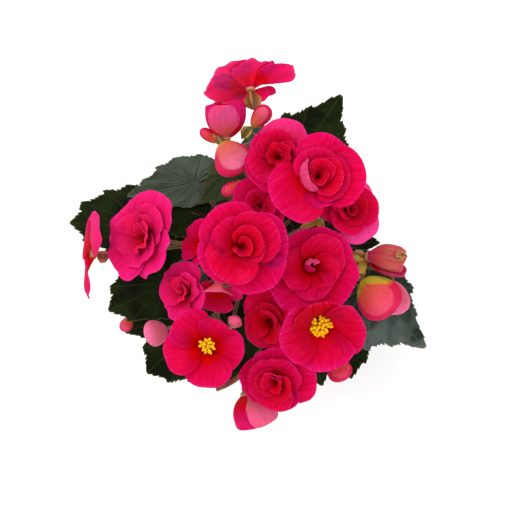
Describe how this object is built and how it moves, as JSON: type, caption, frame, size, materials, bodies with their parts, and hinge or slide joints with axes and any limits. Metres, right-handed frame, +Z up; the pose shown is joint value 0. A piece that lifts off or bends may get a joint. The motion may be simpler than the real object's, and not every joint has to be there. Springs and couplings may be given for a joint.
{
  "type": "potted begonia",
  "caption": "Winter-flowering begonia with double and open hot-pink blooms above toothed dark green leaves, planted in a plain round nursery pot.",
  "frame": {"origin": "centre of the pot's flat base, on the pot's vertical axis", "axes": "+Z up out of the pot, +X to the right and +Y to the top of the picture, which looks straight down"},
  "size_m": [0.2522, 0.2481, 0.2686],
  "materials": {
    "pot": "matte",
    "soil": "rough",
    "stem": "satin",
    "leaf": "satin",
    "petal": "soft",
    "faded": "dry",
    "stamen": "powdery",
    "bud": "soft"
  },
  "bodies": {
    "root": {"bloom_crown": "petal", "bloom_northeast": "petal", "bloom_north": "petal", "bloom_east": "petal", "bloom_inner_north": "petal", "bloom_southeast": "petal", "bloom_south_cup": "petal", "bloom_inner_south": "petal", "bloom_southwest_open": "petal", "bloom_west_inner": "petal", "bloom_under_crown": "petal", "bloom_west_small": "petal", "bloom_south": "petal", "bloom_south_nodding": "petal", "bloom_west": "petal", "bloom_far_west": "petal", "bloom_far_north": "petal", "bloom_north_nodding": "petal", "bloom_faded": "faded", "leaf_northeast": "leaf", "leaf_north": "leaf", "leaf_northwest": "leaf", "leaf_north_small": "leaf", "leaf_far_west": "leaf", "leaf_west": "leaf", "leaf_west_low": "leaf", "leaf_west_young": "leaf", "leaf_southwest": "leaf", "leaf_southwest_low": "leaf", "leaf_south_west": "leaf", "leaf_south": "leaf", "leaf_south_small": "leaf", "leaf_southeast": "leaf", "leaf_far_east": "leaf", "leaf_east": "leaf", "leaf_east_low": "leaf", "bud_north": "bud", "bud_north_small": "bud", "bud_northwest_tiny": "bud", "bud_north_tiny": "bud", "bud_east": "bud", "bud_east_low": "bud", "bud_southeast": "bud", "bud_southwest": "bud", "bud_southwest_tiny": "bud", "bud_inner_south": "bud", "pot": "pot", "soil": "soil", "stems": "stem", "stamens_south_cup": "stamen", "stamens_southwest_open": "stamen"}
  },
  "joints": []
}
